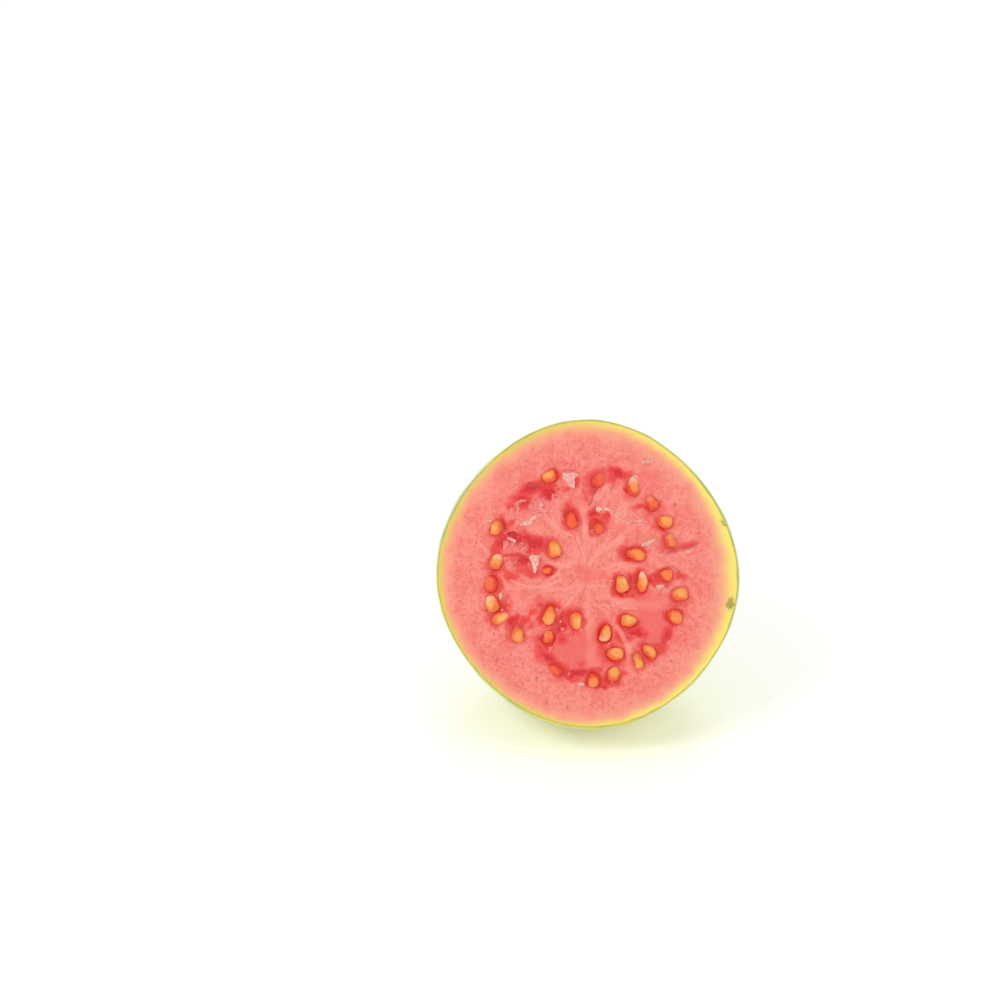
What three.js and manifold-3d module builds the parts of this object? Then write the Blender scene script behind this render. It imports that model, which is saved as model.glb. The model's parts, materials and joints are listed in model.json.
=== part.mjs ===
// A guava cut in half across its middle. It lies on the flank of its dome, on a small flat spot, with
// the cut face leaning back so that its seeds show. Skin, flesh and seeds grew as one body. The dry calyx
// at the blossom end is a body of its own. Lengths are in millimetres. Z is up, the cut face looks
// towards -Y, and the origin is at the middle of the bottom of the bounding box.
import * as THREE from "three";
import { mergeVertices } from "three/addons/utils/BufferGeometryUtils.js";
import Module from "manifold-3d";

const wasm = await Module();
wasm.setup();

// The cut face, with the gentle lobes of its outline: how many, how far they swell, bearing of the first
const CUT_RADIUS = 37.6;
const CUT_LOBES = [
  { count: 2, swell: 0.5, bearing: -73 },
  { count: 3, swell: 0.25, bearing: -36 },
  { count: 4, swell: 0.5, bearing: 1 },
];

// The dome behind the cut: widest a little way back, with full shoulders and an end that sits off the axis
const DOME_DEPTH = 45;
const WIDEST_BEHIND = 7;
const BULGE = 0.9;
const SHOULDER_POWER = 2.5;
const END_DRIFT = { x: -1.5, y: -2.8 };
const FLANK_SWELL = { height: 0.5, count: 3, twist: 150 };

// How it rests: the cut face's normal stands this far above the horizon, and the flank is flattened
const FACE_TILT = 28;
const FLAT_DEPTH = 2.1;

// Seeds: distance from the middle of the cut, bearing, way that the tip points, share covered by pulp
const SEED = { length: 4.6, width: 3.4, thickness: 2.7 };
const SEED_SIZE_SPREAD = 0.08;
const OUTER_SEEDS = [
  [26.6, 113, 200, 0.3],
  [24.3, 85, 260, 0.9],
  [24.6, 63, 95, 0.4],
  [23.9, 48, 120, 0.8],
  [23.6, 36, 150, 0.3],
  [22.6, 23, 100, 0.5],
  [19.8, 1, 180, 0.5],
  [23.7, -11, 180, 0],
  [24.3, -24, 135, 0.3],
  [24.9, -49, 125, 0.1],
  [25, -58, 115, 0.1],
  [25.7, -74, 80, 0.1],
  [26.1, -87, 90, 0.4],
  [25, -107, 150, 0.9],
  [22.9, -138, 80, 0.1],
  [24.3, -152, 35, 0],
  [24.8, -162, 100, 0],
  [24.2, -173, 90, 0.9],
  [23.3, 172, 60, 0.2],
  [25.8, 154, 80, 0.3],
];
const INNER_SEEDS = [
  [15.2, 107, 90, 0.8],
  [12.6, 81, 270, 0.9],
  [13.4, 23, 200, 0.4],
  [8.8, -13, 110, 0],
  [13.8, -5, 90, 0],
  [15.7, -47, 0, 0],
  [15.5, -72, 80, 0.1],
  [20.9, -68, 175, 0.1],
  [11.9, -104, 270, 0],
  [14.2, -131, 75, 0],
  [18.3, -121, 60, 0.6],
  [10.5, 144, 100, 0],
  [10.2, 176, 20, 0.7],
];

// Each seed lies in a pocket, and its middle sits this far under the cut, deeper where pulp covers it
const POCKET = { length: 7, width: 5.6, depth: 1.4 };
const SEED_SET_BACK = 0.5;
const SEED_COVER_SET_BACK = 0.9;

// Hollows where the wet pulp has drawn back: distance, bearing, length, width, turn, depth
const HOLLOWS = [
  [24.6, 124, 15, 5.5, 36, 1.9],
  [25.6, 77, 11, 4.5, 8, 1.4],
  [16, 106, 8.5, 5, 90, 1.6],
  [14.4, 86, 8, 5, 90, 1.6],
  [17.7, 152, 14, 5.5, -18, 2],
  [16.9, 168, 14, 5.5, -8, 1.7],
  [24.1, -174, 11, 4.5, 90, 1.5],
  [14.3, -124, 12, 8, 60, 1.9],
  [21.2, -114, 10, 5.5, -65, 1.6],
  [25.4, -96, 14, 5, -10, 1.8],
  [11.8, -9, 12, 6, 5, 1.7],
  [18, -48, 9, 6.5, -60, 1.6],
  [17.6, -73, 12, 6.5, -68, 1.7],
  [25.2, -32, 10, 4.5, -72, 1.3],
  [22.4, 30, 11, 4.5, -70, 1.3],
];

// The calyx: a small dish with five dry sepals round it, in a socket at the blossom end
const CALYX = { radius: 3.4, height: 2, wall: 1.1, sink: 1, dish: 0.9 };
const CALYX_GAP = 0.3;
const SEPAL = { count: 5, length: 4.8, width: 3.6, thickness: 0.8, rise: 0.8, flare: 48 };
const END_HOLLOW = { depth: 1.4, radius: 7 };

// How finely the surfaces are divided
const SIDES = 80;
const FACE_RING_STEP = 1.75;
const SEED_ZONE_RADIUS = 29;
const OUTER_FLESH_RINGS = 3;
const DOME_RINGS = 13;
const COLLAR_RINGS = 2;
const SEED_SIDES = 10;
const SEED_BANDS = 7;
const DISH_SIDES = 20;

const DRAW_SEED = 7;
const radians = THREE.MathUtils.degToRad;

// A repeatable source of random numbers from 0 to 1
function drawer(seed) {
  let state = seed;
  return () => {
    state = (state * 16807) % 2147483647;
    return state / 2147483647;
  };
}

// A geometry with its shared corners merged and its empty triangles dropped
function merged(geometry) {
  const bare = geometry.clone();
  bare.deleteAttribute("normal");
  bare.deleteAttribute("uv");
  const whole = mergeVertices(bare, 1e-4);
  const corners = whole.index.array;
  const kept = [];
  for (let i = 0; i < corners.length; i += 3) {
    const [a, b, c] = corners.slice(i, i + 3);
    if (a !== b && b !== c && c !== a) kept.push(a, b, c);
  }
  whole.setIndex(kept);
  return whole;
}

function solidOf(geometry) {
  const whole = merged(geometry);
  return new wasm.Manifold(
    new wasm.Mesh({
      numProp: 3,
      vertProperties: new Float32Array(whole.attributes.position.array),
      triVerts: new Uint32Array(whole.index.array),
    }),
  );
}

function geometryOf(solid) {
  const mesh = solid.getMesh();
  const geometry = new THREE.BufferGeometry();
  geometry.setAttribute("position", new THREE.BufferAttribute(mesh.vertProperties, 3));
  geometry.setIndex(new THREE.BufferAttribute(mesh.triVerts, 1));
  geometry.computeVertexNormals();
  return geometry;
}

// Moves every corner of a geometry to where change(point) puts it
function reshape(geometry, change) {
  const place = geometry.attributes.position;
  const point = new THREE.Vector3();
  for (let i = 0; i < place.count; i++) {
    point.fromBufferAttribute(place, i);
    change(point);
    place.setXYZ(i, point.x, point.y, point.z);
  }
  return geometry;
}

function polar(distance, bearing) {
  const angle = radians(bearing);
  return new THREE.Vector2(distance * Math.cos(angle), distance * Math.sin(angle));
}

// How much wider than its mean the outline is at a bearing
function lobeScale(angle) {
  let radius = CUT_RADIUS;
  for (const lobe of CUT_LOBES) {
    radius += lobe.swell * Math.cos(lobe.count * (angle - radians(lobe.bearing)));
  }
  return radius / CUT_RADIUS;
}

// Depth at (x, y) of a flat-bottomed oval bowl
function bowlDepth(x, y, bowl) {
  const turn = radians(bowl.turn);
  const dx = x - bowl.x;
  const dy = y - bowl.y;
  const along = (dx * Math.cos(turn) + dy * Math.sin(turn)) / (bowl.length / 2);
  const across = (dy * Math.cos(turn) - dx * Math.sin(turn)) / (bowl.width / 2);
  const reach = along * along + across * across;
  return bowl.depth * Math.exp(-reach * reach);
}

const seeds = [...OUTER_SEEDS, ...INNER_SEEDS].map(([distance, bearing, tip, cover]) => {
  const { x, y } = polar(distance, bearing);
  return { x, y, tip, cover };
});

const bowls = [
  ...seeds.map(({ x, y, tip }) => ({ x, y, turn: tip, ...POCKET })),
  ...HOLLOWS.map(([distance, bearing, length, width, turn, depth]) => {
    const { x, y } = polar(distance, bearing);
    return { x, y, length, width, turn, depth };
  }),
];

function cutDepth(x, y) {
  return Math.max(...bowls.map((bowl) => bowlDepth(x, y, bowl)));
}

// Profile of the half from the middle of the cut, over its edge and down the dome to the blossom end
function halfProfile() {
  const points = [];
  for (let r = 0; r < SEED_ZONE_RADIUS; r += FACE_RING_STEP) points.push(new THREE.Vector2(r, 0));
  for (let i = 0; i < OUTER_FLESH_RINGS; i++) {
    const share = i / OUTER_FLESH_RINGS;
    points.push(new THREE.Vector2(THREE.MathUtils.lerp(SEED_ZONE_RADIUS, CUT_RADIUS, share), 0));
  }
  for (let i = 0; i < COLLAR_RINGS; i++) {
    const share = i / COLLAR_RINGS;
    const swell = BULGE * (1 - (1 - share) ** 2);
    points.push(new THREE.Vector2(CUT_RADIUS + swell, -WIDEST_BEHIND * share));
  }
  const widest = CUT_RADIUS + BULGE;
  const rest = DOME_DEPTH - WIDEST_BEHIND;
  for (let i = 0; i <= DOME_RINGS; i++) {
    const angle = (Math.PI / 2) * (i / DOME_RINGS);
    const out = Math.max(0, Math.cos(angle)) ** (2 / SHOULDER_POWER);
    const back = Math.sin(angle) ** (2 / SHOULDER_POWER);
    points.push(new THREE.Vector2(i === DOME_RINGS ? 0 : widest * out, -WIDEST_BEHIND - rest * back));
  }
  return points.reverse();
}

// The lobes, the drift of the blossom end, its hollow and the bowls in the cut face
function shapeHalf(point) {
  const distance = Math.hypot(point.x, point.y);
  const angle = Math.atan2(point.y, point.x);
  const back = -point.z / DOME_DEPTH;
  const twist = radians(FLANK_SWELL.twist) * back;
  const swell = FLANK_SWELL.height * Math.sin(Math.PI * back) * Math.sin(FLANK_SWELL.count * angle + twist);
  const scale = lobeScale(angle) + swell / CUT_RADIUS;
  if (back > 0.5) {
    point.z += END_HOLLOW.depth * Math.exp(-((distance / END_HOLLOW.radius) ** 2));
  } else if (back < 1e-6) {
    point.z -= cutDepth(point.x * scale, point.y * scale);
  }
  point.x = point.x * scale + END_DRIFT.x * back * back;
  point.y = point.y * scale + END_DRIFT.y * back * back;
}

// A seed is a drop with a blunt tip, lying along X before it is turned
function seedGeometry(size) {
  const drop = new THREE.SphereGeometry(0.5, SEED_SIDES, SEED_BANDS).rotateZ(-Math.PI / 2);
  return reshape(merged(drop), (point) => {
    const taper = 1 - 0.7 * Math.max(0, point.x) ** 1.5;
    point.set(
      point.x * SEED.length * size,
      point.y * SEED.width * size * taper,
      point.z * SEED.thickness * size * taper,
    );
  });
}

function seedSolids() {
  const draw = drawer(DRAW_SEED);
  return seeds.map(({ x, y, tip, cover }) => {
    const size = 1 + SEED_SIZE_SPREAD * (2 * draw() - 1);
    const back = SEED_SET_BACK + SEED_COVER_SET_BACK * cover;
    return solidOf(seedGeometry(size).rotateZ(radians(tip)).translate(x, y, -back));
  });
}

// The direction of the floor in the fruit's own frame, where Z is the normal of the cut face
const lean = radians(90 - FACE_TILT);
const down = new THREE.Vector3(0, 0, -1).applyAxisAngle(new THREE.Vector3(1, 0, 0), -lean);

// A block that takes off whatever lies below the resting spot of a body
function floorBlock(geometry) {
  const place = geometry.attributes.position;
  const point = new THREE.Vector3();
  let lowest = 0;
  for (let i = 0; i < place.count; i++) {
    lowest = Math.max(lowest, point.fromBufferAttribute(place, i).dot(down));
  }
  const side = 2 * CUT_RADIUS;
  const middle = lowest - FLAT_DEPTH + side / 2;
  const block = new THREE.BoxGeometry(side, side, side);
  block.rotateX(-lean);
  block.translate(down.x * middle, down.y * middle, down.z * middle);
  return block;
}

// Where the blossom end's surface lies, at the bottom of its hollow
const endPoint = new THREE.Vector3(END_DRIFT.x, END_DRIFT.y, END_HOLLOW.depth - DOME_DEPTH);

// The calyx's dish, open away from the fruit, with room added all round when it cuts its socket
function dishGeometry(room) {
  const radius = CALYX.radius + room;
  const bottom = CALYX.sink + room;
  const wall = CALYX.wall;
  const profile = room
    ? [[0, bottom], [radius, bottom], [radius, -CALYX.height], [0, -CALYX.height]]
    : [
        [0, bottom],
        [0.75 * radius, bottom],
        [radius, 0],
        [radius, -CALYX.height],
        [radius - wall, -CALYX.height],
        [radius - 1.6 * wall, -CALYX.height + CALYX.dish],
        [0, -CALYX.height + 1.3 * CALYX.dish],
      ];
  const points = profile.map(([out, along]) => new THREE.Vector2(out, along)).reverse();
  return new THREE.LatheGeometry(points, DISH_SIDES).rotateX(Math.PI / 2);
}

// One dry sepal: a pointed blade that leaves the dish's lip and curls outwards
function sepalGeometry(length, flare) {
  const blade = new THREE.BoxGeometry(1, 1, 1, 4, 1, 6);
  return reshape(merged(blade), (point) => {
    const along = point.z + 0.5;
    const across = point.x * SEPAL.width * (1 - along ** 1.6) * 0.94 + point.x * 0.9;
    const cup = 1.6 * point.x * point.x * (1 - along);
    const bend = radians(flare) * along;
    const reach = length * along;
    const out = reach * Math.sin(bend) + point.y * SEPAL.thickness * Math.cos(bend) - cup;
    const away = reach * Math.cos(bend) - point.y * SEPAL.thickness * Math.sin(bend);
    point.set(CALYX.radius - 0.6 + out, across, -(CALYX.height - SEPAL.rise) - away);
  });
}

function calyxGeometry() {
  const draw = drawer(DRAW_SEED);
  let calyx = solidOf(dishGeometry(0));
  for (let i = 0; i < SEPAL.count; i++) {
    const length = SEPAL.length * (0.8 + 0.3 * draw());
    const sepal = sepalGeometry(length, SEPAL.flare * (0.8 + 0.5 * draw()));
    sepal.rotateZ(radians((360 / SEPAL.count) * (i + 0.25 * draw())));
    calyx = calyx.add(solidOf(sepal));
  }
  return geometryOf(calyx);
}

function halfGeometry() {
  const blank = new THREE.LatheGeometry(halfProfile(), SIDES).rotateX(Math.PI / 2);
  const body = reshape(merged(blank), shapeHalf);
  const socket = dishGeometry(CALYX_GAP).translate(endPoint.x, endPoint.y, endPoint.z);
  let half = solidOf(body).subtract(solidOf(floorBlock(body))).subtract(solidOf(socket));
  for (const seed of seedSolids()) half = half.add(seed);
  return geometryOf(half);
}

function mesh(name, geometry, look) {
  const made = new THREE.Mesh(geometry, new THREE.MeshStandardMaterial({ metalness: 0, ...look }));
  made.name = name;
  return made;
}

const half = mesh("guava_half", halfGeometry(), { color: 0xf58a7c, roughness: 0.35 });
const calyx = mesh("calyx", calyxGeometry(), { color: 0x6b4a22, roughness: 0.8 });
calyx.position.copy(endPoint);

const fruit = new THREE.Group();
fruit.add(half, calyx);
fruit.rotation.x = lean;

const guava = new THREE.Group();
guava.add(fruit);
const box = new THREE.Box3().setFromObject(guava, true);
fruit.position.set(-(box.min.x + box.max.x) / 2, -(box.min.y + box.max.y) / 2, -box.min.z);

export default guava;
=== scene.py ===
# %% [markdown]
# # A guava half
# Half of a pink guava lies on its flank, with its wet cut face leaning back towards the viewer. This
# script dresses the plain solids of the half and its calyx. The solids come in first, because every new
# piece has to sit where they sit. Their box is kept, so that the dressed fruit can be held against it.

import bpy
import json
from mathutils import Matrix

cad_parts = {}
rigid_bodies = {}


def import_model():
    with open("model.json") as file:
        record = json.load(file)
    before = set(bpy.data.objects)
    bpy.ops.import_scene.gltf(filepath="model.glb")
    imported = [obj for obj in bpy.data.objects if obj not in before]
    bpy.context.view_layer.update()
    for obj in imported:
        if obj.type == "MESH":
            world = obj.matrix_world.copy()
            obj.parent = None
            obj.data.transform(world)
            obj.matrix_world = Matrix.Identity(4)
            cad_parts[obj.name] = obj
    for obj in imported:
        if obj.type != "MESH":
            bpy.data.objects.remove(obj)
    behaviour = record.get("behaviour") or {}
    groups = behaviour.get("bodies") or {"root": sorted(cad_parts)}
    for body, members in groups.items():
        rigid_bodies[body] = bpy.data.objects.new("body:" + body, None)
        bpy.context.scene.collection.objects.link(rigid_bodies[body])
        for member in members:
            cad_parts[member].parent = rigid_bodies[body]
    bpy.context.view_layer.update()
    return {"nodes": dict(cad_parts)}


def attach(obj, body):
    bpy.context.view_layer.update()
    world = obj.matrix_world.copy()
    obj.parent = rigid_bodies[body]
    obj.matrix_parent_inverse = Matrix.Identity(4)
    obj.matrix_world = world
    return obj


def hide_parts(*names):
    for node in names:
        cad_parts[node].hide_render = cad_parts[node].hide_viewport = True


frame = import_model()
print("nodes:", ", ".join(frame["nodes"]))

# %% [markdown]
# ## The fruit's own frame
# The fruit is easiest to shape where its cut face lies flat: X to the right, Y up the face, Z out of it,
# and lengths in millimetres. A matrix then tips each finished mesh back and puts it on the floor. The
# matrix could be typed in by hand. Here the middle of the cut is measured from the rim of the solid, so
# the pieces follow it wherever it goes.

# %% Find the middle of the cut
import json
import math
from collections import Counter

import bmesh
import bpy
import numpy as np
from mathutils import Matrix, Vector, noise

MM = 0.001
FACE_TILT = 28
CUT_RADIUS = 37.6
CUT_LOBES = ((2, 0.5, -73), (3, 0.25, -36), (4, 0.5, 1))
SOLID_SIDES = 80

tip_back = Matrix.Rotation(math.radians(90 - FACE_TILT), 4, "X")
face_normal = tip_back.to_3x3() @ Vector((0, 0, 1))


def lobe_scale(angle):
    """How much wider than its mean the outline is, for an array of bearings."""
    swell = sum(size * np.cos(count * (angle - math.radians(at))) for count, size, at in CUT_LOBES)
    return 1 + swell / CUT_RADIUS


def middle(values):
    return (min(values) + max(values)) / 2


def cut_centre():
    """Where the outline's own middle lies. Most corners of the solid at any one height lie on the cut."""
    points = {v.co.to_tuple(7) for v in frame["nodes"]["guava_half"].data.vertices}
    points = [Vector(p) for p in points]
    level = Counter(round(p.dot(face_normal), 5) for p in points).most_common(1)[0][0]
    flat = [p for p in points if abs(p.dot(face_normal) - level) < 0.01 * MM]
    angle = np.linspace(0, 2 * math.pi, SOLID_SIDES, endpoint=False)
    outline = CUT_RADIUS * MM * lobe_scale(angle)
    axes = tip_back.to_3x3().col
    right = middle([p.dot(axes[0]) for p in flat]) - middle(outline * np.cos(angle))
    up = middle([p.dot(axes[1]) for p in flat]) - middle(outline * np.sin(angle))
    return axes[0] * right + axes[1] * up + axes[2] * level


centre = cut_centre()
FRUIT = Matrix.Translation(centre) @ tip_back @ Matrix.Scale(MM, 4)
print("middle of the cut, mm:", [round(c / MM, 2) for c in centre])

# %% [markdown]
# ## The camera
# The picture looks straight down the cut face's normal with a long lens. The fruit sits right of the
# middle of the frame and below it, so the camera aims past it instead of shifting its lens, which keeps
# the framing of other views true.

# %% Aim the camera
FRAME_PIXELS = 1000
LENS_MM = 85
SENSOR_MM = 36
DISTANCE = 0.592
FACE_AT_PIXEL = (587.6, 574.4)


def make_camera():
    data = bpy.data.cameras.new("camera")
    data.lens = LENS_MM
    data.sensor_width = SENSOR_MM
    camera = bpy.data.objects.new("camera", data)
    bpy.context.scene.collection.objects.link(camera)
    focal = FRAME_PIXELS * LENS_MM / SENSOR_MM
    right = (FACE_AT_PIXEL[0] - FRAME_PIXELS / 2) / focal
    below = (FACE_AT_PIXEL[1] - FRAME_PIXELS / 2) / focal
    ahead = 1 / math.sqrt(1 + right**2 + below**2)
    tilt = math.radians(FACE_TILT)
    yaw = math.asin(right * ahead / math.cos(tilt))
    pitch = math.atan2(math.sin(tilt), math.cos(tilt) * math.cos(yaw)) - math.atan(below)
    camera.location = centre + face_normal * DISTANCE
    camera.rotation_euler = (math.pi / 2 - pitch, 0, yaw)
    bpy.context.scene.camera = camera
    print("camera pitch and yaw:", round(math.degrees(pitch), 2), round(math.degrees(yaw), 2))


make_camera()

# %% [markdown]
# ## The outline and the dome
# A guava is never a true circle: the cut has gentle lobes, and the dome behind it swells a little, has
# full shoulders and ends off its axis in a shallow dimple. One set of formulas gives all of that. A
# sculpted mesh could do it too, but the formulas are the ones that the solids were made with, so the
# skin lies where they are.

# %% Formulas for the body
# The depth and the bulge are a hair less than the solid's, so that the skin's lumps stay inside it
DOME_DEPTH = 44.95
WIDEST_BEHIND = 7
BULGE = 0.85
COLLAR = 0.13
SHOULDER_POWER = 2.5
END_DRIFT = (-1.5, -2.8)
FLANK_SWELL = {"height": 0.5, "count": 3, "twist": 150}
END_HOLLOW = {"depth": 1.4, "radius": 7}


def dome_point(share):
    """Distance from the axis and height of the dome, from 0 at the cut's edge to 1 at the end."""
    if share < COLLAR:
        part = share / COLLAR
        return CUT_RADIUS + BULGE * (1 - (1 - part) ** 2), -WIDEST_BEHIND * part
    angle = math.pi / 2 * (share - COLLAR) / (1 - COLLAR)
    out = max(0.0, math.cos(angle)) ** (2 / SHOULDER_POWER)
    back = math.sin(angle) ** (2 / SHOULDER_POWER)
    return (CUT_RADIUS + BULGE) * out, -WIDEST_BEHIND - (DOME_DEPTH - WIDEST_BEHIND) * back


def bend_body(x, y, z):
    """Adds the lobes, the swells of the flank, the end's hollow and its drift to a round body."""
    distance = np.hypot(x, y)
    angle = np.arctan2(y, x)
    back = np.clip(-z / DOME_DEPTH, 0, 1)
    twist = math.radians(FLANK_SWELL["twist"]) * back
    wave = np.sin(math.pi * back) * np.sin(FLANK_SWELL["count"] * angle + twist)
    scale = lobe_scale(angle) + FLANK_SWELL["height"] * wave / CUT_RADIUS
    hollow = END_HOLLOW["depth"] * np.exp(-((distance / END_HOLLOW["radius"]) ** 2))
    z = z + np.where(back > 0.5, hollow, 0)
    return x * scale + END_DRIFT[0] * back**2, y * scale + END_DRIFT[1] * back**2, z


print("widest, mm:", CUT_RADIUS + BULGE, "deepest, mm:", DOME_DEPTH)

# %% [markdown]
# ## What lies on the cut
# The seeds stand in two rough rings round a paler core, each in a pocket of wet red pulp. Between them
# run pale fibres and thin walls. They could be scattered at random, but then they wouldn't gather as
# they do in this fruit, so they are placed one by one, in millimetres from the middle of the cut.

# %% Seeds
# x, y, length, width, bearing of the tip, warmth from 0, pale yellow, to 1, red under its pulp, how much
# wet pulp rings it, bearing of the side where the pulp shows, and how strong a painted highlight, a pale
# pink patch, lies on its tip, or on its other end if the number is below 0
SEEDS = (
    (-10.2, 24.4, 3.7, 3.1, 200, 0.4, 0.7, 310, 0.0),
    (2.4, 23.9, 4.4, 3.6, 60, 0.95, 0.5, 200, 0.0),
    (11.0, 22.3, 5.0, 2.9, 95, 0.5, 0.25, 215, 0.9),
    (15.9, 18.2, 3.9, 3.1, 120, 0.8, 0.35, 260, 0.3),
    (19.1, 13.6, 3.9, 3.2, 150, 0.3, 0.4, 225, 0.0),
    (20.5, 8.8, 3.9, 3.0, 100, 0.65, 0.4, 190, 0.3),
    (11.9, 5.2, 4.8, 3.1, 175, 0.55, 0.8, 185, 0.0),
    (19.6, 0.2, 3.5, 3.1, 180, 0.65, 0.7, 200, 0.0),
    (8.6, -2.2, 4.3, 3.2, 108, 0.1, 1.0, 235, -0.2),
    (13.8, -1.5, 5.2, 2.5, 93, 0.2, 0.85, 190, 1.0),
    (23.2, -4.5, 4.1, 3.3, 178, 0.3, 0.5, 240, 0.0),
    (21.9, -10.2, 4.3, 3.2, 150, 0.55, 0.7, 165, 0.0),
    (10.6, -11.4, 4.1, 3.0, 5, 0.05, 1.0, 250, 0.0),
    (15.9, -18.9, 4.2, 2.6, 135, 0.35, 0.8, 190, 0.2),
    (13.1, -21.4, 4.0, 2.6, 118, 0.3, 0.55, 100, 0.2),
    (4.8, -14.6, 4.3, 2.8, 76, 0.35, 1.0, 200, -0.6),
    (7.3, -19.7, 4.2, 3.2, 170, 0.3, 0.9, 230, 0.0),
    (7.1, -24.7, 3.6, 3.2, 85, 0.3, 0.8, 245, 0.0),
    (1.9, -26.4, 3.7, 3.0, 90, 0.6, 0.9, 95, 0.0),
    (-2.7, -11.7, 4.3, 3.0, 275, 0.0, 0.75, 150, 0.0),
    (-9.3, -10.5, 4.8, 3.1, 80, 0.25, 1.0, 110, 0.0),
    (-9.5, -15.9, 3.6, 2.9, 60, 0.7, 0.9, 280, 0.0),
    (-17.2, -15.4, 3.8, 3.3, 80, 0.35, 0.5, 110, 0.0),
    (-21.6, -11.4, 4.4, 2.7, 35, 0.05, 0.5, 150, 0.3),
    (-23.8, -7.8, 4.3, 3.0, 105, 0.1, 0.5, 345, 0.8),
    (-22.9, 2.8, 3.8, 3.3, 75, 0.2, 0.45, 260, 0.7),
    (-23.1, 11.3, 3.9, 2.8, 78, 0.3, 0.5, 10, 0.0),
    (-8.5, 6.3, 4.4, 3.5, 100, 0.25, 0.45, 185, 0.0),
    (-4.3, 13.7, 4.4, 3.1, 94, 0.92, 0.8, 90, 0.0),
    (2.5, 11.7, 3.2, 3.0, 110, 0.95, 1.0, 130, 0.0),
    (-24.2, -2.8, 4.1, 3.3, 90, 0.8, 0.7, 350, 0.0),
    (-7.7, -24.1, 4.0, 2.7, 150, 0.9, 0.7, 30, 0.0),
    (-10.0, 0.8, 2.5, 2.0, 20, 0.75, 0.8, 0, 0.0),
)
print("seeds that show:", len(SEEDS))

# %% Pulp and froth
# The seed chambers, a deeper coral than the walls between them: x, y, length, width, bearing, strength
CHAMBERS = (
    (-4.0, -19.5, 19, 11, -12, 0.95),
    (16.5, -11.0, 14, 16, -10, 0.85),
    (15.0, 1.0, 15, 8, 0, 0.5),
    (-15.5, 5.0, 18, 10, -15, 0.8),
    (-14.5, 19.5, 15, 9, 40, 0.7),
    (4.5, 24.0, 15, 6, -5, 0.6),
    (-11.0, -11.0, 11, 9, 20, 0.6),
    (-21.0, -7.0, 8, 14, 20, 0.5),
    (-4.4, 15.0, 10, 6, 92, 0.6),
    (2.2, 15.0, 11, 5, 95, 0.7),
    (18.0, 13.5, 17, 6, -62, 0.5),
    (5.0, -16.5, 13, 8, 105, 0.6),
    (0.0, 0.0, 9, 8, 0, 0.55),
    (-13.0, -6.0, 12, 5, -8, 0.45),
    (15.0, -20.0, 10, 7, 30, 0.5),
    (12.0, 9.5, 8, 5, 30, 0.55),
    (15.2, 26.2, 7, 3, -30, 0.6),
    (-16.9, -7.2, 4, 2.5, 0, 0.5),
    (-21.9, -13.9, 3, 2, 30, 0.6),
)
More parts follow.
